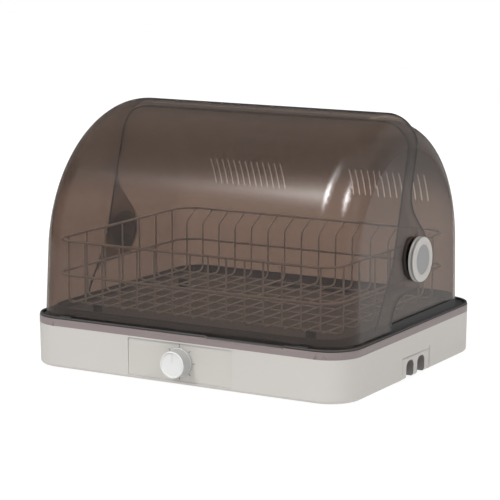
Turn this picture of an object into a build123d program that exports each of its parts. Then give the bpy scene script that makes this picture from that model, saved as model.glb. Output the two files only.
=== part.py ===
from build123d import *
import os
from math import acos, atan2, cos, radians, sin, sqrt, tan

os.makedirs("parts", exist_ok=True)

# An electric dish dryer: a low moulded base with a heater, a fan and a clockwork timer,
# a dark drip tray, a wire rack, a fixed rear cover and a front cover that swings up and back.
# Lengths are millimetres, X runs to the right, Y to the rear, Z up. Sizes are laid out about
# the middle of the base, and every piece is moved to the middle of the whole box when saved.

# Fits and cutting
seat_gap = 0.2
shaft_gap = 0.08
slip_gap = 0.3
overrun = 5.0

# Base housing
base_width = 450.0
base_depth = 375.0
base_height = 53.0
base_corner = 42.0
base_draft_deg = 1.0
base_wall = 2.5
base_floor = 4.0
base_edge_round = 4.0
floor_margin = 20.0
rebate_width = 6.0
foot_height = 3.0
foot_radius = 9.0
foot_stem_radius = 3.0
foot_inset_x = 40.0
foot_inset_y = 40.0
plate_thickness = 1.6
post_radius = 5.0
post_height = 22.0
screw_radius = 2.0
screw_length = 14.0
screw_head_radius = 4.0
screw_head_height = 2.2

# Rim band, the tinted frame round the top of the base
band_height = 9.0
band_wall = 3.0
band_ledge_width = 12.0
band_ledge = 2.5
spigot_depth = 6.0
spigot_wall = 2.0

# Drip tray
tray_floor = 2.5
tray_rise = 1.0
crest_inset = 0.8
crest_width = 3.5
crest_height = 2.5
gutter_depth = 1.2
kerb_height = 6.0
kerb_wall = 3.0
tongue_height = 4.0
tongue_wall = 2.0
drain_radius = 5.0

# Finger scoop in the rim, right of the middle, under the front cover's edge
scoop_length = 103.0
scoop_end_inset = 40.0
scoop_start = base_width / 2 - base_corner - scoop_end_inset - scoop_length
scoop_radius = 6.5
scoop_lift = 1.5

# Front cover, set in from the sides and the front of the base
cover_wall = 2.4
front_end_inset = 5.0
front_half_length = base_width / 2 - front_end_inset
front_draft_deg = 1.8
front_arc_inset = 7.5
front_arc_radius = base_depth / 2 - front_arc_inset
front_arc_y = 2.5
front_arc_rise = 79.0
front_lean_deg = 1.9
front_edge_round = 42.0
front_clearance = 2.0

# Rear cover, inside the front cover
rear_end_inset = 10.6
rear_half_length = front_half_length - rear_end_inset
rear_draft_deg = 0.4
rear_arc_inset = 14.5
rear_arc_radius = front_arc_radius - rear_arc_inset
rear_arc_shift = 8.2
rear_arc_y = front_arc_y + rear_arc_shift
rear_arc_lift = 4.4
rear_arc_rise = front_arc_rise + rear_arc_lift
rear_lean_deg = 1.8
rear_edge_round = 36.0

# Pivot, on one line through both covers
pivot_y = 16.0
pivot_rise = 81.0
pin_radius = 5.0
ear_radius = 37.0
front_boss_radius = 27.0
rear_boss_radius = 24.0
boss_step = 0.4
hub_radius = 12.0
hub_thickness = 4.6
hub_step_radius = 8.0
hub_step = 1.2
spacer_radius = 25.5
cap_radius = 28.0
left_cap_radius = 17.0
cap_thickness = 6.9
cap_step = 2.0
cap_step_width = 1.2
cap_edge_round = 1.5
cap_disc_radius = 18.5
left_disc_radius = 10.5
cap_recess = 1.6
cap_disc_thickness = 1.2
pin_engagement = 4.5

# Edges of the two covers, seen from the side: distances from the pivot
seam_top_y = 9.0
seam_knee_rise = 142.0
seam_waist_y = -17.0
seam_waist_rise = 69.0
seam_heel_y = -73.0
seam_heel_drop = 40.0
seam_knee_round = 40.0
seam_waist_round = 34.0
seam_heel_round = 38.0
lap_top_y = -5.0
lap_knee_rise = 142.0
lap_waist_y = -47.0
lap_waist_drop = 3.0
lap_foot_y = -96.0
lap_round = 60.0

# Vents in the rear cover
vent_slots = 13
vent_pitch = 9.0
vent_slot_width = 3.2
vent_end_inset = 103.4
vent_middle_x = rear_half_length - vent_end_inset
vent_low_rise = 127.0
vent_high_rise = 163.0

# Front panel and timer
panel_width = 147.0
panel_height = 46.5
panel_drop = 2.0
panel_thickness = 4.0
panel_recess = 1.2
panel_corner = 2.0
panel_tab = 6.0
mark_reach = 18.4
mark_length = 3.2
mark_long_length = 4.2
mark_width = 0.9
mark_thickness = 0.3
mark_count = 8
knob_rise = 28.0
knob_radius = 17.2
knob_skirt_radius = 17.8
knob_skirt = 2.6
knob_depth = 18.0
knob_taper = 0.7
knob_rim = 1.8
knob_dish = 1.0
knob_edge_round = 1.4
knob_gap = 0.6
pointer_width = 2.0
pointer_length = 11.0
shaft_radius = 3.0
shaft_flat = 0.8
shaft_grip = 12.0
shaft_inside = 14.0
bush_radius = 5.0
timer_width = 46.0
timer_height = 40.0
timer_depth = 26.0
timer_corner = 4.0

# Outlet panel in the right wall, with two arched notches for a mains lead and a drain hose
outlet_middle_y = 3.5
outlet_width = 80.0
outlet_height = 30.0
outlet_recess = 0.6
outlet_thickness = 3.0
notch_width = 20.5
notch_spacing = 31.0
notch_height = 22.0
notch_round = 8.0
notch_depth = 12.0
notch_lining = 2.0
outlet_frame_inset = 3.0
outlet_frame_line = 1.0
outlet_frame_depth = 1.6

# Rack
ring_side_gap = 11.4
ring_half_width = rear_half_length - ring_side_gap
ring_front_gap = 12.6
ring_rear_gap = 29.3
ring_corner = 28.0
ring_wire = 1.7
rod_wire = 1.2
weld_gap = 0.1
ring_height = 94.0
middle_ring_height = 51.0
rack_floor_height = 14.0
rod_pitch = 25.4
side_rod_pitch = 41.0
side_rod_inset = 29.0
rod_bend = 8.0
rear_rod_inset = 27.0
rear_rod_drop = 15.0
rack_foot_radius = 6.0
rack_foot_gap = 0.2

# Fan, heater and ducts under the tray, in line from the fan to the air grille at the rear
grille_inset = 37.5
grille_y = base_depth / 2 - grille_inset
fan_to_grille = 123.0
fan_x = -29.0
fan_y = grille_y - fan_to_grille
fan_lift = 8.0
fan_height = 34.0
duct_wall = 2.0
volute_radius = 50.0
volute_step = 4.0
volute_neck = 12.0
wheel_radius = 44.0
wheel_blade = 10.0
wheel_blade_thickness = 1.2
wheel_blades = 28
blade_turn_deg = 35.0
wheel_plate = 1.5
wheel_gap = 3.5
wheel_boss_radius = 7.0
inlet_radius = 31.0
motor_radius = 24.0
motor_height = 12.0
motor_round = 3.0
motor_shaft_radius = 2.5
lid_thickness = 1.6
stand_radius = 4.0
heater_length = 16.0
heater_margin = 6.0
heater_bars = 3
heater_bar = 3.0
heater_fin = 0.6
heater_fin_pitch = 4.0
outlet_box_width = 114.0
grille_depth = 24.0
grille_kerb = 3.0
grille_kerb_wall = 2.0
grille_bar = 2.0
grille_pitch = 7.0
grille_thickness = 2.5
thermostat_radius = 8.0
thermostat_height = 6.0
fuse_radius = 2.0
fuse_length = 14.0
block_width = 34.0
block_depth = 18.0
block_height = 16.0
block_inset = 65.0
block_x = base_width / 2 - block_inset
block_ways = 3
block_well_radius = 3.0
spout_radius = 6.5
spout_wall = 1.5
spout_drop = 48.0
spout_bend = 10.0
spout_inset = 35.0
spout_x = base_width / 2 - spout_inset
pad_width = 16.0

# Levels
floor_z = foot_height
base_top = floor_z + base_height
band_top = base_top + band_height
tray_top = band_top + tray_rise
crest_top = band_top + crest_height
kerb_top = tray_top + kerb_height
front_edge_z = crest_top + front_clearance
pivot_z = band_top + pivot_rise

# Middle of the whole box, for the place that each piece is saved at
knob_front = base_depth / 2 - panel_recess + knob_gap + knob_depth
centre_shift = (knob_front - base_depth / 2) / 2


def save(name, shape):
    export_step(Pos(0, centre_shift, 0) * shape, f"parts/{name}.step")


def plan(inset):
    """The base's outline seen from above, drawn in by an inset."""
    return RectangleRounded(base_width - 2 * inset, base_depth - 2 * inset, base_corner - inset)


def slab(face, low, high):
    """A plan shape made solid between two levels."""
    return extrude(Pos(0, 0, low) * face, high - low)


def ring(outer_inset, inner_inset, low, high):
    return slab(plan(outer_inset), low, high) - slab(plan(inner_inset), low - overrun, high + overrun)


def tapered(inset, low, high):
    """The housing's form: the plan at the top, drawn in by the draft lower down."""
    def at(level):
        return Pos(0, 0, level) * plan(inset + (base_top - level) * tan(radians(base_draft_deg)))
    return loft([at(low), at(high)], ruled=True)


# Base housing: one moulding with a rounded lower edge, an open top and a large hole in
# its floor, which the bottom plate closes from below.
outer_form = tapered(0, floor_z, base_top)
lower_edges = outer_form.edges().filter_by_position(Axis.Z, floor_z - seat_gap, floor_z + seat_gap)
outer_form = fillet(lower_edges, base_edge_round)
housing = outer_form - tapered(base_wall, floor_z + base_floor, base_top + overrun)
housing -= slab(plan(floor_margin + rebate_width), floor_z - overrun, floor_z + base_floor + overrun)
housing -= slab(plan(floor_margin), floor_z - overrun, floor_z + plate_thickness)

post_x = base_width / 2 - floor_margin - rebate_width / 2
post_y = base_depth / 2 - floor_margin - rebate_width / 2
post_places = [
    (side * (base_width / 2 - base_corner * 2), end * post_y) for side in (-1, 1) for end in (-1, 1)
] + [(side * post_x, end * (base_depth / 2 - base_corner * 2)) for side in (-1, 1) for end in (-1, 1)]
post_low = floor_z + plate_thickness
for x, y in post_places:
    housing += Pos(x, y, post_low) * Cylinder(
        post_radius, post_height, align=(Align.CENTER, Align.CENTER, Align.MIN)
    )
for x, y in post_places:
    housing -= Pos(x, y, floor_z) * Cylinder(
        screw_radius + shaft_gap, screw_length + seat_gap, align=(Align.CENTER, Align.CENTER, Align.MIN)
    )

# Window in the front wall for the control panel
panel_z = base_top - panel_drop - panel_height / 2
panel_y = -base_depth / 2 + panel_recess


def front_box(width, height, front_y, back_y, z):
    """A block seen square from the front, between two depths."""
    return Pos(0, front_y, z) * Box(
        width, back_y - front_y, height, align=(Align.CENTER, Align.MIN, Align.CENTER)
    )


def front_plate(width, height, radius, front_y, thickness, x, z):
    """A plate with rounded corners that faces the front."""
    face = Plane(origin=(x, front_y, z), x_dir=(1, 0, 0), z_dir=(0, -1, 0)) * RectangleRounded(
        width, height, radius
    )
    return extrude(face, -thickness)


housing -= front_plate(
    panel_width + 2 * seat_gap, panel_height + 2 * seat_gap, panel_corner + seat_gap,
    -base_depth / 2 - overrun, base_wall + 2 * overrun, 0, panel_z,
)

# Window in the right wall for the outlet panel, open at the lower edge and through the floor
outlet_x = base_width / 2
outlet_window = Pos(outlet_x, outlet_middle_y, floor_z) * Box(
    2 * (floor_margin + rebate_width + overrun), outlet_width, 2 * outlet_height
)
housing -= outlet_window
save("base_housing", housing)

# Bottom plate: pressed sheet with rubber feet, held by screws, with louvres under the fan
# and a tab that closes the floor up to the outlet panel.
bottom_plate = slab(plan(floor_margin + seat_gap), floor_z, floor_z + plate_thickness)
groove_depth = outlet_recess + outlet_frame_depth
tab_end = outlet_x - groove_depth - notch_depth - seat_gap
bottom_plate += Pos(tab_end, outlet_middle_y, floor_z) * Box(
    floor_margin + rebate_width, outlet_width - 2 * seat_gap, plate_thickness,
    align=(Align.MAX, Align.CENTER, Align.MIN),
)
foot_x = base_width / 2 - foot_inset_x
foot_y = base_depth / 2 - foot_inset_y
foot_places = [(side * foot_x, end * foot_y) for side in (-1, 1) for end in (-1, 1)]
for x, y in foot_places:
    bottom_plate -= Pos(x, y, floor_z) * Cylinder(foot_stem_radius + shaft_gap, 2 * overrun)
for x, y in post_places:
    bottom_plate -= Pos(x, y, floor_z) * Cylinder(screw_radius + shaft_gap, 2 * overrun)
slot_width = wheel_blade_thickness * 3
slot_pitch = slot_width * 2
slot_reach = int(inlet_radius / slot_pitch)
for step in range(-slot_reach, slot_reach + 1):
    run = 2 * sqrt(inlet_radius ** 2 - (step * slot_pitch) ** 2)
    bottom_plate -= Pos(fan_x + step * slot_pitch, fan_y, floor_z) * Box(slot_width, run, 2 * overrun)
save("bottom_plate", bottom_plate)

feet = []
for x, y in foot_places:
    pad = Pos(x, y, 0) * Cylinder(
        foot_radius, foot_height, align=(Align.CENTER, Align.CENTER, Align.MIN)
    )
    pad = chamfer(pad.edges().group_by(Axis.Z)[0], foot_height / 4)
    stem_height = foot_height + plate_thickness * 2
    pad += Pos(x, y, 0) * Cylinder(
        foot_stem_radius, stem_height, align=(Align.CENTER, Align.CENTER, Align.MIN)
    )
    feet.append(pad)
save("rubber_feet", Compound(feet))

screws = []
for x, y in post_places:
    head = Pos(x, y, floor_z) * Cylinder(
        screw_head_radius, screw_head_height, align=(Align.CENTER, Align.CENTER, Align.MAX)
    )
    head = fillet(head.edges().group_by(Axis.Z)[0], screw_head_height / 3)
    head -= Pos(x, y, floor_z - screw_head_height) * Box(
        screw_head_radius, screw_head_radius / 4, screw_head_height
    )
    shank = Pos(x, y, floor_z) * Cylinder(
        screw_radius, screw_length, align=(Align.CENTER, Align.CENTER, Align.MIN)
    )
    screws.append(head + shank)
save("base_screws", Compound(screws))

# Rim band: skirt in line with the housing, a ledge that carries the tray, and a spigot
# that drops inside the housing. A scoop in the front lets a finger under the cover.
ledge_top = tray_top - tray_floor
scoop_axis_z = crest_top + gutter_depth
scoop_y = -base_depth / 2 - crest_inset
scoop = Pos(scoop_start, scoop_y, scoop_axis_z) * Rot(0, 90, 0) * Cylinder(
    scoop_radius, scoop_length, align=(Align.CENTER, Align.CENTER, Align.MIN)
)
scoop += Pos(scoop_start, scoop_y, scoop_axis_z) * Sphere(scoop_radius)
spigot_inset = base_wall + slip_gap
band = ring(0, band_wall, base_top, band_top)
band += ring(band_wall - seat_gap, band_wall + band_ledge_width, ledge_top - band_ledge, ledge_top)
band += ring(spigot_inset, spigot_inset + spigot_wall, base_top - spigot_depth, base_top + band_ledge)
band -= front_box(
    panel_width + 4 * panel_tab, 2 * spigot_depth, -base_depth / 2 + spigot_inset - seat_gap,
    -base_depth / 2 + spigot_inset + spigot_wall + overrun, base_top - spigot_depth,
)
band -= scoop
save("rim_band", band)

# Drip tray: floor, gutter and crest in one dark moulding, with a kerb and tongue that
# locate the rear cover, a drain, and a raised mouth for the warm air.
kerb_rear = rear_arc_y + rear_arc_radius * cos(radians(rear_lean_deg)) + (
    rear_arc_rise + rear_arc_radius * sin(radians(rear_lean_deg)) - kerb_height - tray_rise
) * tan(radians(rear_lean_deg))
front_wall_y = front_arc_y - front_arc_radius * cos(radians(front_lean_deg)) - (
    front_arc_rise + front_arc_radius * sin(radians(front_lean_deg)) - kerb_height - tray_rise
) * tan(radians(front_lean_deg))
kerb_front = front_wall_y + cover_wall + kerb_wall + slip_gap


def kerb_plan(inset):
    """Outline of the kerb under the rear cover, drawn in by an inset."""
    depth = kerb_rear - kerb_front
    return Pos(0, (kerb_rear + kerb_front) / 2, 0) * RectangleRounded(
        2 * (rear_half_length - inset), depth - 2 * inset, rear_edge_round - inset
    )


tray = slab(plan(band_wall + slip_gap), ledge_top, tray_top)
tray += ring(crest_inset, crest_inset + crest_width, band_top, crest_top)
tray = fillet(tray.edges().group_by(Axis.Z)[-1], crest_height / 4)
tray -= slab(plan(crest_inset + crest_width), tray_top - gutter_depth, tray_top + overrun) - slab(
    kerb_plan(0), tray_top - overrun, tray_top + 2 * overrun
)
tray += slab(kerb_plan(0), tray_top - gutter_depth, kerb_top) - slab(
    kerb_plan(kerb_wall), tray_top - 2 * overrun, kerb_top + overrun
)
tongue_inset = cover_wall + slip_gap
tray += slab(kerb_plan(tongue_inset), tray_top - gutter_depth, kerb_top + tongue_height) - slab(
    kerb_plan(tongue_inset + tongue_wall), tray_top - 2 * overrun, kerb_top + 2 * overrun
)
tray -= scoop

grille_opening = (outlet_box_width - 2 * duct_wall, grille_depth)
grille_rim = Pos(0, grille_y, 0) * Rectangle(
    grille_opening[0] + 2 * grille_kerb_wall, grille_opening[1] + 2 * grille_kerb_wall
)
tray += slab(grille_rim, ledge_top, tray_top + grille_kerb)
tray -= slab(Pos(0, grille_y, 0) * Rectangle(*grille_opening), ledge_top - overrun, tray_top + 2 * overrun)
notch_y = [outlet_middle_y + side * notch_spacing / 2 for side in (-1, 1)]
drain_y = notch_y[1]
tray -= Pos(spout_x, drain_y, tray_top) * Cylinder(drain_radius, 2 * overrun)
save("drip_tray", tray)

# Rubber pads on the crest, which the front cover's edge comes down on
pads = []
for side in (-1, 1):
    x = side * (base_width / 2 - base_corner - pad_width)
    y = -base_depth / 2 + crest_inset + crest_width / 2
    pads.append(Pos(x, y, crest_top) * Box(
        pad_width, crest_width / 2, front_clearance - slip_gap,
        align=(Align.CENTER, Align.CENTER, Align.MIN)
    ))
save("cover_rest_pads", Compound(pads))

# Air grille, dropped into the tray's raised mouth
grille_width = grille_opening[0] - 2 * seat_gap
grille_run = grille_opening[1] - 2 * seat_gap
grille_low = tray_top + grille_kerb - grille_thickness
grille = Pos(0, grille_y, grille_low) * Box(
    grille_width, grille_run, grille_thickness, align=(Align.CENTER, Align.CENTER, Align.MIN)
)
grille_gap = grille_pitch - grille_bar
grille_count = int((grille_width - grille_bar) / grille_pitch)
for step in range(grille_count):
    x = (step - (grille_count - 1) / 2) * grille_pitch
    grille -= Pos(x, grille_y, grille_low) * Box(grille_gap, grille_run - 2 * grille_bar, 2 * overrun)
save("air_grille", grille)

# Drain spout: a bent tube from the tray's drain to the rear notch
spout_top = ledge_top - seat_gap
spout_low = spout_top - spout_drop
spout_end = base_width / 2 - notch_depth
spout_path = FilletPolyline(
    (spout_x, drain_y, spout_top), (spout_x, drain_y, spout_low), (spout_end, drain_y, spout_low),
    radius=spout_bend,
)
spout_plane = Plane(origin=(spout_x, drain_y, spout_top), z_dir=(0, 0, -1))
spout = sweep(spout_plane * Circle(spout_radius), path=spout_path)
spout -= sweep(spout_plane * Circle(spout_radius - spout_wall), path=spout_path)
save("drain_spout", spout)

# Control panel, pressed into the front window, with a hole for the timer's bush
panel = front_plate(
    panel_width, panel_height, panel_corner, panel_y, panel_thickness, 0, panel_z
)
panel_back = panel_y + panel_thickness
tab_front = -base_depth / 2 + base_wall + base_height * tan(radians(base_draft_deg)) + seat_gap
for side in (-1, 1):
    panel += Pos(side * panel_width / 2, tab_front, panel_z) * Box(
        2 * panel_tab, base_wall, panel_height / 2,
        align=(Align.CENTER, Align.MIN, Align.CENTER),
    )
knob_z = floor_z + knob_rise


def along_front(radius, length, front_y, x=0, z=knob_z):
    """A cylinder whose axis points to the front, starting at a depth and running back."""
    return Pos(x, front_y, z) * Rot(-90, 0, 0) * Cylinder(
        radius, length, align=(Align.CENTER, Align.CENTER, Align.MIN)
    )


panel -= along_front(bush_radius + shaft_gap, panel_thickness + 2 * overrun, panel_y - overrun)
save("control_panel", panel)

# Time marks round the knob, a long one at the top
marks = []
for step in range(mark_count):
    length = mark_long_length if step == 0 else mark_length
    bar = Pos(0, mark_reach + length / 2) * Rectangle(mark_width, length)
    plane = Plane(origin=(0, panel_y, knob_z), x_dir=(1, 0, 0), z_dir=(0, -1, 0))
    turned = plane * (Rot(0, 0, -360 * step / mark_count) * bar)
    marks.append(extrude(turned, mark_thickness))
save("dial_marks", Compound(marks))

# Timer: clockwork case behind the panel, its threaded bush and its D-shaped shaft
timer_front = panel_back + seat_gap
timer = front_plate(
    timer_width, timer_height, timer_corner, timer_front, timer_depth, 0, knob_z
)
timer += along_front(bush_radius, panel_thickness + 2 * seat_gap, panel_y)
timer -= along_front(shaft_radius + shaft_gap, shaft_inside + slip_gap + overrun, panel_y - overrun)
save("timer_unit", timer)

knob_back = panel_y - knob_gap
knob_face = knob_back - knob_depth
shaft_front = knob_back - shaft_grip
shaft = along_front(shaft_radius, panel_y + shaft_inside - shaft_front, shaft_front)
shaft -= Pos(0, shaft_front, knob_z + shaft_radius - shaft_flat) * Box(
    2 * shaft_radius, shaft_grip, 2 * shaft_radius, align=(Align.CENTER, Align.MIN, Align.MIN)
)
save("timer_shaft", shaft)

# Knob: skirt, tapered grip and a dished face with a rim, turned about its own axis
knob_top_radius = knob_radius - knob_taper
profile = Polyline(
    (0, 0), (knob_skirt_radius, 0), (knob_skirt_radius, knob_skirt), (knob_radius, knob_skirt),
    (knob_top_radius, knob_depth), (knob_top_radius - knob_rim, knob_depth),
    (knob_top_radius - knob_rim - knob_dish / 2, knob_depth - knob_dish), (0, knob_depth - knob_dish),
    (0, 0),
)
knob = revolve(Plane.XZ * make_face(profile), Axis.Z)
knob = fillet(knob.edges().group_by(Axis.Z)[-1].sort_by(SortBy.LENGTH)[-1:], knob_edge_round)
knob = Pos(0, knob_back, knob_z) * Rot(90, 0, 0) * knob
knob -= along_front(shaft_radius + shaft_gap, shaft_grip + overrun, shaft_front - shaft_gap)
dish_y = knob_face + knob_dish
pointer_top = knob_top_radius - knob_rim - knob_dish
pointer = Pos(0, dish_y, knob_z + pointer_top) * Box(
    pointer_width, knob_dish / 2, pointer_length, align=(Align.CENTER, Align.MAX, Align.MAX)
)
save("timer_knob", knob)
save("knob_pointer", pointer)

# Outlet panel: a plate in the right wall with two arched notches and their linings
def arch(width, height, radius):
    """An upright notch with rounded upper corners and an open foot, seen from the side."""
    half = width / 2
    outline = FilletPolyline((-half, 0), (-half, height), (half, height), (half, 0), radius=radius)
    return make_face([*outline.edges(), Line((half, 0), (-half, 0))])


def side_face(y, z, x):
    return Plane(origin=(x, y, z), x_dir=(0, 1, 0), z_dir=(1, 0, 0))


outlet_form = Pos(-outlet_recess, 0, 0) * outer_form
outlet_block = Pos(outlet_x, outlet_middle_y, floor_z) * Box(
    2 * (outlet_thickness + outlet_recess), outlet_width - 2 * seat_gap, 2 * (outlet_height - seat_gap)
)
outlet = outlet_form & outlet_block
frame_width = outlet_width - 2 * outlet_frame_inset
frame_height = outlet_height - outlet_frame_inset
frame_base = side_face(outlet_middle_y, floor_z - overrun, outlet_x)
groove = extrude(
    frame_base * arch(frame_width, frame_height + overrun, 2 * outlet_frame_line), -groove_depth
)
groove -= extrude(
    frame_base * arch(
        frame_width - 2 * outlet_frame_line, frame_height + overrun - outlet_frame_line,
        outlet_frame_line,
    ), -2 * groove_depth,
)
outlet -= groove
for y in notch_y:
    lining_plane = side_face(y, floor_z, outlet_x - groove_depth)
    lining = extrude(
        lining_plane * arch(
            notch_width + 2 * notch_lining, notch_height + notch_lining, notch_round + notch_lining
        ), -notch_depth,
    )
    outlet += lining & outlet_form
for y in notch_y:
    cut_plane = side_face(y, floor_z - overrun, outlet_x + overrun)
    outlet -= extrude(
        cut_plane * arch(notch_width, notch_height + overrun, notch_round),
        -(notch_depth + 3 * overrun),
    )
save("outlet_panel", outlet)


def barrel(half_length, draft_deg, arc_radius, arc_y, arc_rise, lean_deg, edge_round, low, drawn_in):
    """A cover's solid form: a rounded barrel with leaning walls, drafted ends and round edges."""
    radius = arc_radius - drawn_in
    arc_z = band_top + arc_rise
    lean = radians(lean_deg)
    side_y = radius * cos(lean)
    side_z = arc_z + radius * sin(lean)
    foot_y = side_y + (side_z - low) * tan(lean)
    outline = [
        Line((arc_y - foot_y, low), (arc_y - side_y, side_z)),
        ThreePointArc((arc_y - side_y, side_z), (arc_y, arc_z + radius), (arc_y + side_y, side_z)),
        Line((arc_y + side_y, side_z), (arc_y + foot_y, low)),
        Line((arc_y + foot_y, low), (arc_y - foot_y, low)),
    ]
    half = half_length - drawn_in + (band_top - low) * tan(radians(draft_deg))
    body = extrude(Plane.YZ * make_face(outline), half, both=True)
    top = arc_z + radius + overrun
    narrow = half - (top - low) * tan(radians(draft_deg))
    gable = make_face(Polyline(
        (-half, low), (half, low), (narrow, top), (-narrow, top), (-half, low)
    ))
    body &= extrude(Plane.XZ * gable, base_depth, both=True)
    ends = body.faces().sort_by(Axis.X)
    edges = [
        edge for end in (ends[0], ends[-1]) for edge in end.edges()
        if edge.center().Z > low + seat_gap
    ]
    return fillet(edges, edge_round - drawn_in)


def shell(sizes, low):
    outer = barrel(*sizes, low, 0)
    inner = barrel(*sizes, low - overrun, cover_wall)
    return outer - inner


def side_prism(outline):
    """A side view made solid across the whole width."""
    return extrude(Plane.YZ * make_face(outline), base_width, both=True)


def disc(radius, x_low, x_high, y=pivot_y, z=pivot_z):
    """A disc on the pivot line between two distances from the middle."""
    return Pos(x_low, y, z) * Rot(0, 90, 0) * Cylinder(
        radius, x_high - x_low, align=(Align.CENTER, Align.CENTER, Align.MIN)
    )


def both_sides(shape):
    return shape + mirror(shape, Plane.YZ)


far = base_depth
cover_top = band_top + front_arc_rise + front_arc_radius + 2 * overrun

# Rear cover: fixed shell behind a leaning front edge, standing on the kerb, with upright
# vent slots in two groups and a flat boss at each pivot.
rear_sizes = (
    rear_half_length, rear_draft_deg, rear_arc_radius, rear_arc_y, rear_arc_rise, rear_lean_deg,
    rear_edge_round,
)
rear_low = kerb_top + seat_gap
rear_cover = shell(rear_sizes, rear_low)
lap_edge = FilletPolyline(
    (pivot_y + lap_top_y, cover_top), (pivot_y + lap_top_y, pivot_z + lap_knee_rise),
    (pivot_y + lap_waist_y, pivot_z - lap_waist_drop), (pivot_y + lap_foot_y, rear_low - overrun),
    radius=lap_round,
)
rear_region = side_prism([
    *lap_edge.edges(),
    Line((pivot_y + lap_foot_y, rear_low - overrun), (far, rear_low - overrun)),
    Line((far, rear_low - overrun), (far, cover_top)),
    Line((far, cover_top), (pivot_y + lap_top_y, cover_top)),
])
rear_cover &= rear_region
rear_x = rear_half_length - pivot_rise * tan(radians(rear_draft_deg))
rear_swing = rear_boss_radius * tan(radians(rear_draft_deg)) + boss_step
rear_boss_out = rear_x + rear_swing
rear_boss_in = rear_x - cover_wall - rear_swing
rear_cover += both_sides(disc(rear_boss_radius, rear_boss_in, rear_boss_out))
rear_cover -= both_sides(disc(pin_radius + shaft_gap, rear_boss_in - overrun, rear_boss_out + overrun))
vent_low = band_top + vent_low_rise + cover_wall
vent_high = band_top + vent_high_rise
slot_face = Plane.XZ * SlotCenterToCenter(vent_high - vent_low, vent_slot_width, rotation=90)
for group in (-1, 1):
    for step in range(vent_slots):
        x = group * vent_middle_x + (step - (vent_slots - 1) / 2) * vent_pitch
        slot = extrude(Pos(x, far, (vent_low + vent_high) / 2) * slot_face, far - rear_arc_y - overrun)
        rear_cover -= slot
save("rear_cover", rear_cover)

# Front cover: larger shell that ends in an ear round each pivot. Its rear edge runs from
# the top to a waist, round the ear, and forward to a heel above the rim.
front_sizes = (
    front_half_length, front_draft_deg, front_arc_radius, front_arc_y, front_arc_rise,
    front_lean_deg, front_edge_round,
)


def tangent_point(point, side):
    """Where a line from a point touches the ear, on one side of it."""
    away_y, away_z = point[0] - pivot_y, point[1] - pivot_z
    reach = sqrt(away_y ** 2 + away_z ** 2)
    turn = atan2(away_z, away_y) + side * acos(ear_radius / reach)
    return (pivot_y + ear_radius * cos(turn), pivot_z + ear_radius * sin(turn))


waist = (pivot_y + seam_waist_y, pivot_z + seam_waist_rise)
heel = (pivot_y + seam_heel_y, pivot_z - seam_heel_drop)
ear_high = tangent_point(waist, -1)
ear_low = tangent_point(heel, 1)
ear_back = (pivot_y + ear_radius, pivot_z)
seam_low = front_edge_z - 2 * overrun
seam_top = (pivot_y + seam_top_y, cover_top)
seam_knee = (pivot_y + seam_top_y, pivot_z + seam_knee_rise)
seam_upper = FilletPolyline(
    seam_top, seam_knee, waist, ear_high, radius=(seam_knee_round, seam_waist_round)
)
seam_lower = FilletPolyline(ear_low, heel, (heel[0], seam_low), radius=seam_heel_round)
front_region = side_prism([
    *seam_upper.edges(),
    ThreePointArc(ear_high, ear_back, ear_low),
    *seam_lower.edges(),
    Line((heel[0], seam_low), (-far, seam_low)),
    Line((-far, seam_low), (-far, cover_top)),
    Line((-far, cover_top), seam_top),
])
front_cover = shell(front_sizes, front_edge_z) & front_region
front_x = front_half_length - pivot_rise * tan(radians(front_draft_deg))
front_swing = front_boss_radius * tan(radians(front_draft_deg)) + boss_step
front_boss_out = front_x + front_swing
front_boss_in = front_x - cover_wall - front_swing
front_cover += both_sides(disc(front_boss_radius, front_boss_in, front_boss_out))
front_cover -= both_sides(disc(pin_radius + shaft_gap, front_boss_in - overrun, front_boss_out + overrun))
front_cover -= Pos(scoop_start, -base_depth / 2, front_edge_z) * Box(
    scoop_length, base_depth / 4, 2 * scoop_lift, align=(Align.MIN, Align.CENTER, Align.CENTER)
)
save("front_cover", front_cover)

# Pivot pieces on each side: hub inside, broad spacer between the covers, steel pin, and a
# stepped cap outside with a disc in it, small on the left and large on the right.
hub_outer = rear_boss_in - seat_gap
hub_inner = hub_outer - hub_thickness
cap_inner = front_boss_out + slip_gap
cap_outer = cap_inner + cap_thickness
pin_inner = hub_outer - pin_engagement
pin_outer = cap_inner + pin_engagement
hub = disc(hub_radius, hub_inner + hub_step, hub_outer)
hub = fillet(hub.edges().group_by(Axis.X)[0], hub_step / 2)
hub += disc(hub_step_radius, hub_inner, hub_inner + 2 * hub_step)
hub -= disc(pin_radius + shaft_gap, pin_inner - shaft_gap, hub_outer + overrun)
spacer = disc(spacer_radius, rear_boss_out + seat_gap, front_boss_in - slip_gap)
spacer -= disc(pin_radius + shaft_gap, rear_boss_out - overrun, front_boss_in + overrun)
pin = disc(pin_radius, pin_inner, pin_outer)
pin = chamfer(pin.edges().filter_by(GeomType.CIRCLE), boss_step)
for name, shape in (("pivot_hub", hub), ("pivot_spacer", spacer), ("pivot_pin", pin)):
    save(f"{name}_right", shape)
    save(f"{name}_left", mirror(shape, Plane.YZ))


def stepped_cap(radius, disc_radius):
    """A cap pressed on the right pin's end, with a recess for its disc."""
    cap = disc(radius, cap_inner, cap_inner + cap_step)
    cap += disc(radius - cap_step_width, cap_inner + cap_step, cap_inner + 2 * cap_step)
    face = disc(radius, cap_inner + 2 * cap_step, cap_outer)
    cap += fillet(face.edges().group_by(Axis.X)[-1], cap_edge_round)
    cap -= disc(disc_radius, cap_outer - cap_recess, cap_outer + overrun)
    return cap - disc(pin_radius + shaft_gap, cap_inner - overrun, pin_outer + shaft_gap)


def cap_disc(disc_radius):
    low = cap_outer - cap_recess + shaft_gap
    plain = disc(disc_radius - seat_gap, low, low + cap_disc_thickness)
    return fillet(plain.edges().group_by(Axis.X)[-1], cap_disc_thickness / 2)


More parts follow.
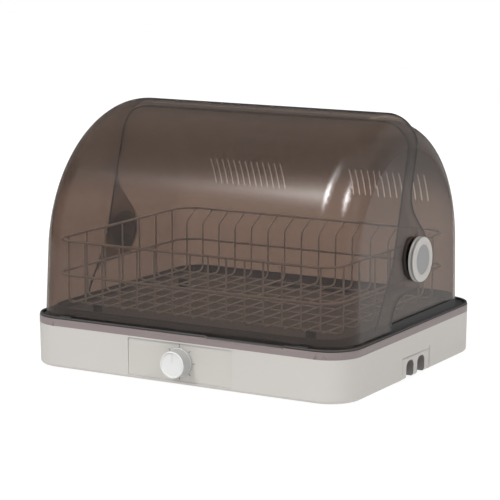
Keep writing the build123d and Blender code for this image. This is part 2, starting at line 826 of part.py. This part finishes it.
save("pivot_cap_right", stepped_cap(cap_radius, cap_disc_radius))
save("cap_disc_right", cap_disc(cap_disc_radius))
save("pivot_cap_left", mirror(stepped_cap(left_cap_radius, left_disc_radius), Plane.YZ))
save("cap_disc_left", mirror(cap_disc(left_disc_radius), Plane.YZ))

# Rack: two bent rings, upright rods welded inside them and floor rods, on plastic feet.
ring_front = front_wall_y + cover_wall + ring_front_gap
ring_rear = kerb_rear - cover_wall - ring_rear_gap
ring_depth = ring_rear - ring_front
ring_middle = (ring_rear + ring_front) / 2


def wire_ring(height):
    """A closed ring of round wire with rounded corners."""
    outline = RectangleRounded(2 * ring_half_width, ring_depth, ring_corner)
    path = (Pos(0, ring_middle, tray_top + height) * outline).wire()
    return sweep((path ^ 0) * Circle(ring_wire), path=path)


def rod(points, radius=rod_bend):
    """A bent round rod through points that lie in one plane."""
    path = FilletPolyline(*points, radius=radius) if len(points) > 2 else Line(*points)
    return sweep((path ^ 0) * Circle(rod_wire), path=path)


save("rack_top_ring", wire_ring(ring_height))
save("rack_middle_ring", wire_ring(middle_ring_height))

rod_inset = ring_wire + rod_wire + weld_gap


def weld_line(x):
    """How far behind the ring's straight side a rod touches the ring from inside, bends included."""
    into_bend = max(abs(x) - (ring_half_width - ring_corner), 0)
    return ring_corner - sqrt((ring_corner - rod_inset) ** 2 - into_bend ** 2)


rod_top = tray_top + ring_height + ring_wire / 2
long_z = tray_top + rack_floor_height
cross_z = long_z - 2 * rod_wire - weld_gap
foot_run = rod_bend + 2 * rod_wire
rear_rod_y = ring_rear - rear_rod_inset
side_rod_x = ring_half_width - rod_inset
rod_reach = int((side_rod_x - rod_pitch / 2) / rod_pitch)
rod_places = [step * rod_pitch for step in range(-rod_reach, rod_reach + 1)]
side_count = int((ring_depth - side_rod_inset - ring_corner) / side_rod_pitch) + 1
side_places = [ring_front + side_rod_inset + step * side_rod_pitch for step in range(side_count)]

front_rods, rear_rods, long_rods = [], [], []
for x in rod_places:
    front_rod_y = ring_front + weld_line(x)
    front_rods.append(rod([
        (x, front_rod_y, rod_top), (x, front_rod_y, long_z), (x, front_rod_y + foot_run, long_z),
    ]))
    rear_top_y = ring_rear - weld_line(x)
    rear_rods.append(rod([
        (x, rear_top_y, tray_top + ring_height - ring_wire),
        (x, rear_rod_y, tray_top + ring_height - rear_rod_drop),
        (x, rear_rod_y, long_z), (x, rear_rod_y - foot_run, long_z),
    ]))
    long_rods.append(rod([
        (x, front_rod_y + foot_run, long_z), (x, rear_rod_y - foot_run, long_z),
    ]))
save("rack_front_rods", Compound(front_rods))
save("rack_rear_rods", Compound(rear_rods))
save("rack_floor_rods", Compound(long_rods))

side_rods, cross_rods = {-1: [], 1: []}, []
for y in side_places:
    for side in (-1, 1):
        side_rods[side].append(rod([
            (side * side_rod_x, y, rod_top), (side * side_rod_x, y, cross_z),
            (side * (side_rod_x - foot_run), y, cross_z),
        ]))
    cross_rods.append(rod([
        (-side_rod_x + foot_run, y, cross_z), (side_rod_x - foot_run, y, cross_z),
    ]))
save("rack_left_rods", Compound(side_rods[-1]))
save("rack_right_rods", Compound(side_rods[1]))
save("rack_cross_rods", Compound(cross_rods))

rack_feet = []
foot_low = tray_top + rack_foot_gap
foot_top = cross_z - rod_wire - weld_gap
for x in (rod_places[1], rod_places[-2]):
    for y in (side_places[0], side_places[-2]):
        foot = Pos(x, y, foot_low) * Cylinder(
            rack_foot_radius, foot_top - foot_low, align=(Align.CENTER, Align.CENTER, Align.MIN)
        )
        rack_feet.append(fillet(foot.edges().group_by(Axis.Z)[0], rod_wire))
save("rack_feet", Compound(rack_feet))


# Fan: scroll housing of three arcs and a straight neck on an inlet collar, a lid that
# carries the motor, and a wheel of slanted blades between two plates.
plate_top = floor_z + plate_thickness
fan_low = plate_top + fan_lift
fan_top = fan_low + fan_height
neck_left = fan_x - volute_step / 2
scroll_y = fan_y - volute_step / 2
neck_end = scroll_y + volute_radius + volute_neck
first_radius = volute_radius
second_radius = first_radius + volute_step
third_radius = second_radius + volute_step
neck_right = neck_left + volute_step + third_radius
diagonal = sin(radians(45))
low_x = neck_left + volute_step
high_y = scroll_y + volute_step
scroll = make_face([
    ThreePointArc(
        (neck_left, scroll_y + first_radius),
        (neck_left - first_radius * diagonal, scroll_y + first_radius * diagonal),
        (neck_left - first_radius, scroll_y),
    ),
    ThreePointArc(
        (low_x - second_radius, scroll_y),
        (low_x - second_radius * diagonal, scroll_y - second_radius * diagonal),
        (low_x, scroll_y - second_radius),
    ),
    ThreePointArc(
        (low_x, high_y - third_radius),
        (low_x + third_radius * diagonal, high_y - third_radius * diagonal),
        (neck_right, high_y),
    ),
    Line((neck_right, high_y), (neck_right, neck_end)),
    Line((neck_right, neck_end), (neck_left, neck_end)),
    Line((neck_left, neck_end), (neck_left, scroll_y + first_radius)),
])
scroll_outside = offset(scroll, duct_wall)
beyond_neck = Pos(fan_x, neck_end, fan_low) * Box(
    base_width, base_depth, fan_height * 4, align=(Align.CENTER, Align.MIN, Align.CENTER)
)


def upright(radius, low, high, x=fan_x, y=fan_y):
    return Pos(x, y, low) * Cylinder(radius, high - low, align=(Align.CENTER, Align.CENTER, Align.MIN))


fan_housing = slab(scroll_outside, fan_low, fan_top) - beyond_neck
fan_housing -= slab(scroll, fan_low + duct_wall, fan_top + overrun)
fan_housing -= Pos(neck_left, neck_end, fan_low + duct_wall) * Box(
    neck_right - neck_left, overrun, fan_height, align=(Align.MIN, Align.CENTER, Align.MIN)
)
fan_housing += upright(inlet_radius + duct_wall, plate_top + seat_gap, fan_low + duct_wall)
fan_housing -= upright(inlet_radius, plate_top - overrun, fan_low + 2 * duct_wall)
save("fan_housing", fan_housing)

lid_low = fan_top + seat_gap
lid_top = lid_low + lid_thickness
fan_lid = slab(scroll_outside, lid_low, lid_top) - beyond_neck
fan_lid -= upright(wheel_boss_radius + slip_gap, lid_low - overrun, lid_top + overrun)
save("fan_lid", fan_lid)

motor_low = lid_top + seat_gap
motor = upright(motor_radius, motor_low, motor_low + motor_height)
motor = fillet(motor.edges().group_by(Axis.Z)[-1], motor_round)
shaft_top = motor_low + motor_height - motor_round
motor -= upright(motor_shaft_radius + shaft_gap, motor_low - overrun, shaft_top + seat_gap)
save("fan_motor", motor)

wheel_low = fan_low + duct_wall + wheel_gap
wheel_top = lid_low - wheel_gap
blade_ring = upright(wheel_radius, wheel_low, wheel_top) - upright(
    wheel_radius - wheel_blade, wheel_low - overrun, wheel_top + overrun
)
blade = Box(
    2 * wheel_blade, wheel_blade_thickness, wheel_top - wheel_low,
    align=(Align.CENTER, Align.CENTER, Align.MIN),
)
blade = Pos(wheel_radius - wheel_blade / 2, 0, 0) * Rot(0, 0, blade_turn_deg) * blade
wheel = upright(wheel_radius, wheel_top - wheel_plate, wheel_top)
wheel += blade_ring & upright(wheel_radius, wheel_low, wheel_low + wheel_plate)
for step in range(wheel_blades):
    turn = Pos(fan_x, fan_y, wheel_low) * Rot(0, 0, 360 * step / wheel_blades)
    wheel += blade_ring & (turn * blade)
wheel += upright(wheel_boss_radius, wheel_low + wheel_blade, wheel_top + wheel_gap / 2)
wheel -= upright(motor_shaft_radius + shaft_gap, wheel_low, wheel_top + overrun)
save("fan_wheel", wheel)
save("fan_shaft", upright(motor_shaft_radius, wheel_low + wheel_blade, shaft_top))

# Heater duct behind the fan, with the finned heater in it
neck_width = neck_right - neck_left
neck_middle = (neck_right + neck_left) / 2
duct_start = neck_end + seat_gap
duct_length = heater_length + 2 * heater_margin
duct_inside_height = fan_height - 2 * duct_wall


def duct_box(width, start, length, height, low, x=neck_middle):
    return Pos(x, start, low) * Box(width, length, height, align=(Align.CENTER, Align.MIN, Align.MIN))


heater_duct = duct_box(neck_width + 2 * duct_wall, duct_start, duct_length, fan_height, fan_low)
heater_duct -= duct_box(
    neck_width, duct_start - overrun, duct_length + 2 * overrun, duct_inside_height, fan_low + duct_wall
)
save("heater_duct", heater_duct)

heater_width = neck_width - 2 * seat_gap
heater_height = duct_inside_height - 2 * seat_gap
heater_start = duct_start + heater_margin
heater_low = fan_low + duct_wall + seat_gap
bar_pitch = (heater_height - heater_bar) / (heater_bars - 1)
heater = duct_box(heater_width, heater_start, heater_length, heater_bar, heater_low)
for step in range(1, heater_bars):
    heater += duct_box(
        heater_width, heater_start, heater_length, heater_bar, heater_low + step * bar_pitch
    )
fin_count = int(heater_width / heater_fin_pitch)
for step in range(fin_count):
    fin_x = neck_middle + (step - (fin_count - 1) / 2) * heater_fin_pitch
    heater += duct_box(heater_fin, heater_start, heater_length, heater_height, heater_low, fin_x)
save("ptc_heater", heater)

# Outlet duct: spreads from the heater to a box under the tray's air grille
spread_start = duct_start + duct_length + seat_gap
box_front = grille_y - grille_depth / 2 - duct_wall
box_depth = grille_depth + 2 * duct_wall
box_top = ledge_top - seat_gap


def spread(grow):
    """The widening passage between the heater duct and the outlet box."""
    def section(y, width, x):
        plane = Plane(origin=(x, y, fan_low + fan_height / 2), x_dir=(1, 0, 0), z_dir=(0, 1, 0))
        return plane * Rectangle(width + 2 * grow, duct_inside_height + 2 * grow)
    return loft([
        section(spread_start, neck_width, neck_middle),
        section(box_front, outlet_box_width - 2 * duct_wall, 0),
    ], ruled=True)


outlet_duct = spread(duct_wall) + duct_box(
    outlet_box_width, box_front, box_depth, box_top - fan_low, fan_low, 0
)
outlet_duct -= spread(0)
outlet_duct -= duct_box(
    grille_opening[0], box_front + duct_wall, grille_depth, box_top - fan_low, fan_low + duct_wall, 0
)
outlet_duct -= duct_box(
    grille_opening[0], box_front - seat_gap, 2 * duct_wall, duct_inside_height, fan_low + duct_wall, 0
)
for side in (-1, 1):
    outlet_duct += upright(
        stand_radius, plate_top + seat_gap, fan_low + duct_wall / 2,
        side * (outlet_box_width / 2 - stand_radius), grille_y,
    )
save("outlet_duct", outlet_duct)

# Safety cut-outs on the heater duct and the outlet duct
thermostat_y = duct_start + duct_length / 2
thermostat = upright(
    thermostat_radius, fan_top + seat_gap, fan_top + thermostat_height, neck_middle, thermostat_y
)
for side in (-1, 1):
    thermostat += duct_box(
        heater_fin, thermostat_y - fuse_radius, 2 * fuse_radius, 2 * thermostat_height, fan_top + seat_gap,
        neck_middle + side * thermostat_radius / 2,
    )
save("thermostat", thermostat)

fuse_y = box_front - fuse_radius - duct_wall
fuse_z = fan_top + fuse_radius + seat_gap
fuse = Pos(0, fuse_y, fuse_z) * Rot(0, 90, 0) * Cylinder(fuse_radius, fuse_length)
fuse += Pos(0, fuse_y, fuse_z) * Rot(0, 90, 0) * Cylinder(fuse_radius / 4, 2 * fuse_length)
save("thermal_fuse", fuse)

# Terminal block on the bottom plate, in line with the lead notch
block_low = plate_top + seat_gap
block = Pos(block_x, notch_y[0], block_low) * Box(
    block_width, block_depth, block_height, align=(Align.CENTER, Align.CENTER, Align.MIN)
)
block = chamfer(block.edges().group_by(Axis.Z)[-1], fuse_radius / 2)
for step in range(block_ways):
    x = block_x + (step - (block_ways - 1) / 2) * block_width / block_ways
    block -= upright(
        block_well_radius, block_low + block_height / 2, block_low + 2 * block_height, x, notch_y[0]
    )
    block -= Pos(x, notch_y[0], block_low + block_height / 4) * Rot(90, 0, 0) * Cylinder(
        block_well_radius / 2, 2 * block_depth
    )
save("terminal_block", block)
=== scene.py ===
# An electric dish dryer on a white table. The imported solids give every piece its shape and
# place; this script lights them and gives each one its finish, in the order of assembly.
from math import cos, radians, sin

import bpy
from mathutils import Matrix, Vector


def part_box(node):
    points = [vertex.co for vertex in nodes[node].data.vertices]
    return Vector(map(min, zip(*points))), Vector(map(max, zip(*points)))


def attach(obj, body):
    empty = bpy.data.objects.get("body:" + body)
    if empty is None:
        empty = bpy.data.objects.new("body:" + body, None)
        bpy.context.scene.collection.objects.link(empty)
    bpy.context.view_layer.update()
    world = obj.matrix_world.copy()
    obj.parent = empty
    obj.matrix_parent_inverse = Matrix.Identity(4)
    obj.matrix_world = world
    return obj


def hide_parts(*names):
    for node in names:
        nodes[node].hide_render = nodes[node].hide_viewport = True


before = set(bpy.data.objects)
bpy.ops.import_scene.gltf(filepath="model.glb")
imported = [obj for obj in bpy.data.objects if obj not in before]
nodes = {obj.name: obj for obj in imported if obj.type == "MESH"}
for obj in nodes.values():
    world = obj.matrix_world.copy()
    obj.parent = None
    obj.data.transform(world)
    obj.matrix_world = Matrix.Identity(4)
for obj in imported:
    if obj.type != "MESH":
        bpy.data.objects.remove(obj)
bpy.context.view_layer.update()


# Camera
# It stands in front of the dryer, to its right and a little above, far enough away for the
# upright edges to stay nearly parallel, as in a catalogue picture.
camera_turn = radians(29.7)
camera_pitch = radians(10.08)
camera_roll = radians(0.154)
camera_distance = 2.6566
camera_target = Vector((0.0019, 0.0056, 0.1409))
camera_back = Vector((
    sin(camera_turn) * cos(camera_pitch), -cos(camera_turn) * cos(camera_pitch), sin(camera_pitch)
))
camera = bpy.data.objects.new("camera", bpy.data.cameras.new("camera"))
bpy.context.scene.collection.objects.link(camera)
camera.location = camera_target + camera_back * camera_distance
looking = Matrix.Rotation(camera_turn, 3, "Z") @ Matrix.Rotation(radians(90) - camera_pitch, 3, "X")
camera.rotation_euler = (looking @ Matrix.Rotation(camera_roll, 3, "Z")).to_euler()
camera.data.sensor_width = 36.0
camera.data.lens = 150.6
camera.data.shift_x = -0.0132
camera.data.shift_y = -0.0008
camera.data.clip_end = 50.0
bpy.context.scene.camera = camera


# Table, surround and light
# A white table top in a tent of white cloth. What the covers mirror is dimmer than what the
# camera sees, and dimmest behind the dryer on the left. Two soft lamps shine through the cloth,
# a large one on the left and a small one on the right, and the table's far end lies in shade.
class Socket:
    """An output in a node tree; sums and products of it add Math nodes."""

    def __init__(self, tree, output):
        self.tree = tree
        self.output = output

    def worked(self, operation, *others):
        node = self.tree.nodes.new("ShaderNodeMath")
        node.operation = operation
        for target, value in zip(node.inputs, (self, *others)):
            connect(self.tree, value, target)
        return Socket(self.tree, node.outputs[0])

    def __add__(self, other):
        return self.worked("ADD", other)

    def __sub__(self, other):
        return self.worked("SUBTRACT", other)

    def __rsub__(self, other):
        return self.worked("MULTIPLY_ADD", -1.0, other)

    def __mul__(self, other):
        return self.worked("MULTIPLY", other)

    __radd__ = __add__
    __rmul__ = __mul__


def connect(tree, value, target):
    """Links a socket to an input, or sets the input to a plain value."""
    if isinstance(value, Socket):
        tree.links.new(value.output, target)
    else:
        target.default_value = value


class Finish:
    """A material, or a world, under construction."""

    def __init__(self, made):
        self.made = made
        self.made.use_nodes = True
        self.tree = self.made.node_tree
        self.tree.nodes.clear()

    def node(self, kind, settings=None, inputs=None, output=0):
        """A node of any kind; its settings come first, because they decide what inputs it has."""
        added = self.tree.nodes.new(kind)
        for name, value in (settings or {}).items():
            setattr(added, name, value)
        for name, value in (inputs or {}).items():
            connect(self.tree, value, added.inputs[name])
        return Socket(self.tree, added.outputs[output])

    def place(self):
        """Where a point lies in the object, in metres."""
        return self.node("ShaderNodeTexCoord", output="Object")

    def along(self, vector, direction):
        """How far a vector reaches along a direction."""
        settings = {"operation": "DOT_PRODUCT"}
        return self.node("ShaderNodeVectorMath", settings, {0: vector, 1: direction}, output="Value")

    def length(self, vector):
        return self.node("ShaderNodeVectorMath", {"operation": "LENGTH"}, {0: vector}, output="Value")

    def noise(self, scale, detail=2.0):
        """A cloudy pattern from 0 to 1, finer as the scale rises."""
        inputs = {"Vector": self.place(), "Scale": scale, "Detail": detail}
        return self.node("ShaderNodeTexNoise", inputs=inputs)

    def fade(self, value, start, end, first=0.0, last=1.0):
        """A soft step from the first level to the last as the value goes from start to end."""
        inputs = {"Value": value, "From Min": start, "From Max": end, "To Min": first, "To Max": last}
        return self.node("ShaderNodeMapRange", {"interpolation_type": "SMOOTHSTEP"}, inputs)

    def mix(self, factor, first, second):
        """One colour, turning into another where the factor is 1."""
        settings = {"data_type": "RGBA", "clamp_factor": True}
        return self.node("ShaderNodeMix", settings, {0: factor, 6: first, 7: second}, output=2)

    def ray_is(self, kind):
        """1 for rays of a kind, and 0 for all others."""
        return self.node("ShaderNodeLightPath", output=f"Is {kind} Ray")

    def mirrored(self):
        """1 for rays that a gloss mirrors; those through a clear piece count as glossy too."""
        return self.ray_is("Glossy") * (1.0 - self.ray_is("Transmission"))

    def grain(self, height, distance):
        """A surface raised by the distance, in metres, where the height is 1."""
        inputs = {"Height": height, "Distance": distance}
        return self.node("ShaderNodeBump", inputs=inputs, output="Normal")

    def ends_in(self, kind, shader):
        end = self.tree.nodes.new(kind)
        connect(self.tree, shader, end.inputs["Surface"])
        return self.made

    def principled(self, **inputs):
        named = {name.replace("_", " "): value for name, value in inputs.items()}
        shader = self.node("ShaderNodeBsdfPrincipled", inputs=named)
        return self.ends_in("ShaderNodeOutputMaterial", shader)


def either(choice, first, second):
    """The first value where the choice is 1, the second where it is 0."""
    return choice * first + (1.0 - choice) * second


def new_finish(name):
    return Finish(bpy.data.materials.new(name))


def rgb(red, green, blue):
    return (red, green, blue, 1.0)


white = rgb(1, 1, 1)
table_size = 6.0
table_glow = 0.9
table_paint = rgb(0.2, 0.2, 0.2)
lit_side = (0.8, -0.6, 0)
bpy.ops.object.select_all(action="DESELECT")
bpy.ops.mesh.primitive_plane_add(size=table_size, location=(0, 0, 0))
table_top = bpy.context.object
table_top.name = "table_top"
table = new_finish("white_table")
to_lit_side = table.along(table.place(), lit_side)
mirrored_table = table.fade(to_lit_side, start=-0.6, end=-0.1, first=0.08, last=0.42)
far_off = table.length(table.place())
table_through_cover = table.fade(far_off, start=1.35, end=1.85, first=table_glow, last=0.16)
table_unmirrored = either(table.ray_is("Transmission"), table_through_cover, table_glow)
table_light = either(table.mirrored(), mirrored_table, table_unmirrored)
glowing = table.node("ShaderNodeEmission", inputs={"Color": white, "Strength": table_light})
painted = table.node("ShaderNodeBsdfDiffuse", inputs={"Color": table_paint})
table_look = table.node("ShaderNodeAddShader", inputs={0: glowing, 1: painted})
table_top.data.materials.append(table.ends_in("ShaderNodeOutputMaterial", table_look))

world = bpy.data.worlds.new("surround")
bpy.context.scene.world = world
tent = Finish(world)
towards = tent.node("ShaderNodeTexCoord", output="Generated")


def soft_lamp(turn, height, spread, strength):
    """A round glow on the tent, turned left of straight ahead and raised, all in degrees."""
    turn, height = radians(turn), radians(height)
    middle = Vector((-sin(turn) * cos(height), -cos(turn) * cos(height), sin(height)))
    sharpness = 1 / (1 - cos(radians(spread)))
    return ((tent.along(towards, middle) - 1.0) * sharpness).worked("EXPONENT") * strength


large_lamp = soft_lamp(turn=27, height=54, spread=8.0, strength=30)
glow_above_it = soft_lamp(turn=28, height=70, spread=8.0, strength=4)
glow_beside_it = soft_lamp(turn=41, height=48.5, spread=4.0, strength=3)
small_lamp = soft_lamp(turn=-68, height=42, spread=7.0, strength=23)
lamps = large_lamp + glow_above_it + glow_beside_it + small_lamp

cloth_light = 0.35
behind_right = (0.7, 0.7, 0)
to_camera = tent.along(towards, camera_back)
to_behind_right = tent.along(towards, behind_right)
cloth_in_front = tent.fade(to_camera, start=-0.1, end=0.5, first=0.1, last=0.5)
dimmed_behind = tent.fade(to_camera, start=-0.95, end=-0.5, first=0.6, last=1.0)
lit_behind_right = tent.fade(to_behind_right, start=0.45, end=0.85, first=0.0, last=0.32)
mirrored_cloth = cloth_in_front * dimmed_behind + lit_behind_right
upward = tent.along(towards, (0, 0, 1))
cloth_through_cover = tent.fade(upward, start=0.2, end=0.8, first=1.0, last=2.6)
cloth_and_lamps = either(tent.mirrored(), mirrored_cloth, cloth_light) + lamps
light_on_dryer = either(tent.ray_is("Transmission"), cloth_through_cover, cloth_and_lamps)
tent_light = either(tent.ray_is("Camera"), 1.0, light_on_dryer)
tent_glow = tent.node("ShaderNodeBackground", inputs={"Color": white, "Strength": tent_light})
tent.ends_in("ShaderNodeOutputWorld", tent_glow)

bpy.context.scene.view_settings.view_transform = "Standard"


# Base housing, outlet panel and control panel
# Injection-moulded ABS in a warm white with a fine satin grain. The control panel is a
# separate moulding, a shade yellower, pressed into the front.
merge_distance = 0.000002
smooth_angle = radians(28)


def smooth_copy(name, body, slot, *finishes):
    """A CAD node's shape with its loose triangles joined, so that its curved faces shade smooth."""
    made = bpy.data.objects.new(f"{name}_smooth", nodes[name].data.copy())
    bpy.context.scene.collection.objects.link(made)
    made.data.materials.clear()
    for finish in finishes:
        made.data.materials.append(finish)
    bpy.ops.object.select_all(action="DESELECT")
    made.select_set(True)
    bpy.context.view_layer.objects.active = made
    bpy.ops.object.mode_set(mode="EDIT")
    bpy.ops.mesh.select_all(action="SELECT")
    bpy.ops.mesh.remove_doubles(threshold=merge_distance)
    bpy.ops.object.mode_set(mode="OBJECT")
    bpy.ops.object.shade_smooth_by_angle(angle=smooth_angle)
    bpy.ops.object.modifier_add(type="WEIGHTED_NORMAL")
    weighted = made.modifiers[-1]
    weighted.keep_sharp = True
    bpy.ops.object.modifier_apply(modifier=weighted.name)
    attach(made, body)
    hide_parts(name)
    return made


def finish_nodes(material, *names):
    """Gives CAD nodes a finish."""
    for name in names:
        mesh = nodes[name].data
        mesh.materials.clear()
        mesh.materials.append(material)


def moulded(name, colour, roughness, grain_depth=0.00002, speckle=0.04):
    """Satin plastic: a fine grain, a faint unevenness of tone, duller and glossier patches."""
    sheen_change = 0.08
    plastic = new_finish(name)
    patches = plastic.noise(18.0, detail=3.0)
    fine = plastic.noise(2600.0, detail=1.0)
    darker = rgb(*(part * (1 - speckle) for part in colour))
    return plastic.principled(
        Base_Color=plastic.mix(patches, darker, rgb(*colour)),
        Roughness=patches * sheen_change + (roughness - sheen_change / 2),
        Normal=plastic.grain(fine, grain_depth),
    )


base_white = moulded("base_white", (0.542, 0.516, 0.486), 0.42)
panel_white = moulded("panel_white", (0.525, 0.505, 0.472), 0.38)
# The faces deep inside the outlet panel's notch are painted dark grey: painted shade in the recess.
notch_painted_shade = moulded("notch_painted_shade", (0.2, 0.19, 0.18), 0.5)
painted_shade_depth = 0.002
smooth_copy("base_housing", "base", "base_white", base_white)
outlet = smooth_copy("outlet_panel", "base", "base_white", base_white, notch_painted_shade)
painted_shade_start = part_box("outlet_panel")[1][0] - painted_shade_depth
for face in outlet.data.polygons:
    face.material_index = int(face.center.x < painted_shade_start)
finish_nodes(panel_white, "control_panel", "terminal_block")


# Bottom plate, screws and feet
# Galvanised sheet held by zinc-plated screws, on four rubber feet.
def metal(name, colour, roughness):
    """Bare metal with fine brushing along X and a little unevenness in its shine."""
    sheen_change = 0.16
    brushing_scale = (40.0, 1200.0, 1200.0)
    brushing_depth = 0.00001
    bare = new_finish(name)
    stretching = {"Vector": bare.place(), "Scale": brushing_scale}
    stretched = bare.node("ShaderNodeMapping", inputs=stretching)
    brushed = {"Vector": stretched, "Scale": 1.0, "Detail": 3.0}
    brushing = bare.node("ShaderNodeTexNoise", inputs=brushed)
    return bare.principled(
        Base_Color=rgb(*colour), Metallic=1.0,
        Roughness=brushing * sheen_change + (roughness - sheen_change / 2),
        Normal=bare.grain(brushing, brushing_depth),
    )


sheet_steel = metal("sheet_steel", (0.56, 0.57, 0.58), 0.42)
plain_steel = metal("plain_steel", (0.6, 0.6, 0.6), 0.28)
rubber = new_finish("rubber_dark")
rubber_tone = rubber.mix(rubber.noise(60.0), rgb(0.03, 0.03, 0.03), rgb(0.0405, 0.0405, 0.0405))
rubber_dark = rubber.principled(
    Base_Color=rubber_tone, Roughness=0.78, Normal=rubber.grain(rubber.noise(1400.0), 0.00004)
)
finish_nodes(sheet_steel, "bottom_plate", "timer_unit", "heater_duct")
finish_nodes(
    plain_steel, "base_screws", "pivot_pin_left", "pivot_pin_right", "timer_shaft", "fan_shaft",
    "thermal_fuse",
)
finish_nodes(rubber_dark, "rubber_feet", "cover_rest_pads", "rack_feet")


# Rim band
# A taupe frame round the top of the base, moulded in ABS with a slight sheen, with a scoop in
# front for a fingertip under the cover.
rim_taupe = moulded("rim_taupe", (0.245, 0.203, 0.198), 0.34, grain_depth=0.000012, speckle=0.06)
smooth_copy("rim_band", "base", "rim_taupe", rim_taupe)


# Drip tray, air grille and drain spout
# Dark polypropylene, dull with a fine grain, and a little glossier where it is wiped. The floor's
# upward faces inside the kerb are painted paler and bluer, as painted light from above.
tray_dark = moulded("tray_dark", (0.062, 0.06, 0.06), 0.5, grain_depth=0.00003, speckle=0.2)
# The floor's upward faces are painted paler: painted light from above.
tray_floor_painted_light = moulded("tray_floor_painted_light", (0.122, 0.133, 0.14), 0.5, grain_depth=0.00003, speckle=0.2)
floor_low, floor_high = 0.0654, 0.0666
level = 0.9
tray = smooth_copy("drip_tray", "base", "tray_dark", tray_dark, tray_floor_painted_light)
for face in tray.data.polygons:
    face.material_index = int(floor_low < face.center.z < floor_high and face.normal.z > level)
finish_nodes(tray_dark, "air_grille", "drain_spout")


# Dial
# White knob with a dished face, pushed on the timer's steel shaft; its duller side is painted a
# darker grey as painted shade. Printed grey marks, and a pale pointer inlaid in the face.
knob_white = moulded("knob_white", (0.69, 0.69, 0.68), 0.3, grain_depth=0.000008, speckle=0.02)
knob_side_painted_shade = moulded("knob_side_painted_shade", (0.4, 0.4, 0.39), 0.4, grain_depth=0.00004, speckle=0.06)
pointer_grey = moulded(
    "pointer_grey", (0.62, 0.63, 0.64), 0.35, grain_depth=0.000004, speckle=0.02
)
print_grey = moulded("print_grey", (0.2, 0.2, 0.2), 0.5, grain_depth=0.000004, speckle=0.1)
# Faces turned sideways take the knob's painted shade.
shaded_side_slant = 0.3
knob = smooth_copy("timer_knob", "dial", "knob_white", knob_white, knob_side_painted_shade)
for face in knob.data.polygons:
    face.material_index = int(abs(face.normal.y) < shaded_side_slant)
finish_nodes(pointer_grey, "knob_pointer")
finish_nodes(print_grey, "dial_marks")


# Fan, heater and ducts
# Black heat-resistant mouldings round a painted motor and an aluminium finned heater, all
# inside the base.
duct_black = moulded("duct_black", (0.02, 0.02, 0.02), 0.45, grain_depth=0.00003, speckle=0.2)
motor_paint = moulded("motor_paint", (0.08, 0.08, 0.085), 0.35, grain_depth=0.000008, speckle=0.1)
heater_alu = metal("heater_alu", (0.75, 0.76, 0.77), 0.35)
finish_nodes(duct_black, "fan_housing", "fan_lid", "outlet_duct", "thermostat", "fan_wheel")
finish_nodes(motor_paint, "fan_motor")
finish_nodes(heater_alu, "ptc_heater")


# Covers
# Clear styrene with a brown smoke tint, 2.4 mm thick and polished in the mould. So thin a sheet
# hardly bends a sight line, so its gloss is a coat; a slanting line runs further in the tint. The
# cut edges look almost black, because the light that reaches them has run a long way inside.
smoke = new_finish("cover_smoke")
slant = smoke.node("ShaderNodeLayerWeight", inputs={"Blend": 0.5}, output="Facing")
facing_tone = rgb(0.384, 0.302, 0.257)
slanting_tone = rgb(0.22, 0.165, 0.135)
edge_on_tone = rgb(0.05, 0.036, 0.03)
way_per_slant = 1.14
way_left_out = 0.13
way_inside = slant * way_per_slant - way_left_out
edge_on = smoke.fade(slant, start=0.6, end=0.95)
smoke_tone = smoke.mix(edge_on, smoke.mix(way_inside, facing_tone, slanting_tone), edge_on_tone)
cover_smoke = smoke.principled(
    Base_Color=smoke_tone, Roughness=0.0, IOR=1.03, Transmission_Weight=1.0,
    Coat_Weight=1.0, Coat_Roughness=0.1, Coat_IOR=1.49,
    Normal=smoke.grain(smoke.noise(7.0, detail=1.0), 0.0001),
)
edge = new_finish("cover_edge")
edge_tone = edge.mix(edge.noise(120.0), rgb(0.012, 0.01, 0.009), rgb(0.03, 0.024, 0.02))
cover_edge = edge.principled(
    Base_Color=edge_tone, Roughness=0.22, Normal=edge.grain(edge.noise(900.0), 0.00001)
)


end_wall_radius = 0.125
least_outward = 0.7
most_sideways = 0.01


def is_cut_edge(face, axis_y, axis_z):
    """Whether a face is the sheet's cut edge; the cover bends round an axis along X."""
    from_axis = Vector((0, face.center.y - axis_y, max(face.center.z - axis_z, 0)))
    in_end_wall = from_axis.length < end_wall_radius
    across_sheet = abs(face.normal.dot(from_axis.normalized())) < least_outward
    return abs(face.normal.x) < most_sideways and (in_end_wall or across_sheet)


cover_bodies = {"front_cover": "front_cover", "rear_cover": "base"}
cover_axes = {"front_cover": (0.0112, 0.144), "rear_cover": (0.0194, 0.1484)}
for name, body in cover_bodies.items():
    cover = smooth_copy(name, body, "cover_smoke", cover_smoke, cover_edge)
    for face in cover.data.polygons:
        face.material_index = int(is_cut_edge(face, *cover_axes[name]))


# Pivots
# A dark hub inside, a broad dark spacer between the covers, and a stepped cap with a grey disc
# outside, all ABS.
hub_dark = moulded("hub_dark", (0.15, 0.135, 0.13), 0.4, grain_depth=0.00001, speckle=0.1)
cap_grey = moulded("cap_grey", (0.52, 0.5, 0.47), 0.33, grain_depth=0.00001)
disc_grey = moulded("disc_grey", (0.29, 0.284, 0.284), 0.3, grain_depth=0.00001, speckle=0.05)
for side in ("left", "right"):
    smooth_copy(f"pivot_hub_{side}", "base", "hub_dark", hub_dark)
    smooth_copy(f"pivot_spacer_{side}", "base", "hub_dark", hub_dark)
    smooth_copy(f"pivot_cap_{side}", "base", "cap_grey", cap_grey)
    smooth_copy(f"cap_disc_{side}", "base", "disc_grey", disc_grey)


# Rack
# Welded steel wire with a smooth polymer coating in a cool white. It stands loose on the
# tray, on rubber feet.
rack_coat = moulded("rack_coat", (0.55, 0.59, 0.61), 0.25, grain_depth=0.00001, speckle=0.06)
rack_wires = [name for name in nodes if name.startswith("rack_") and name != "rack_feet"]
finish_nodes(rack_coat, *rack_wires)
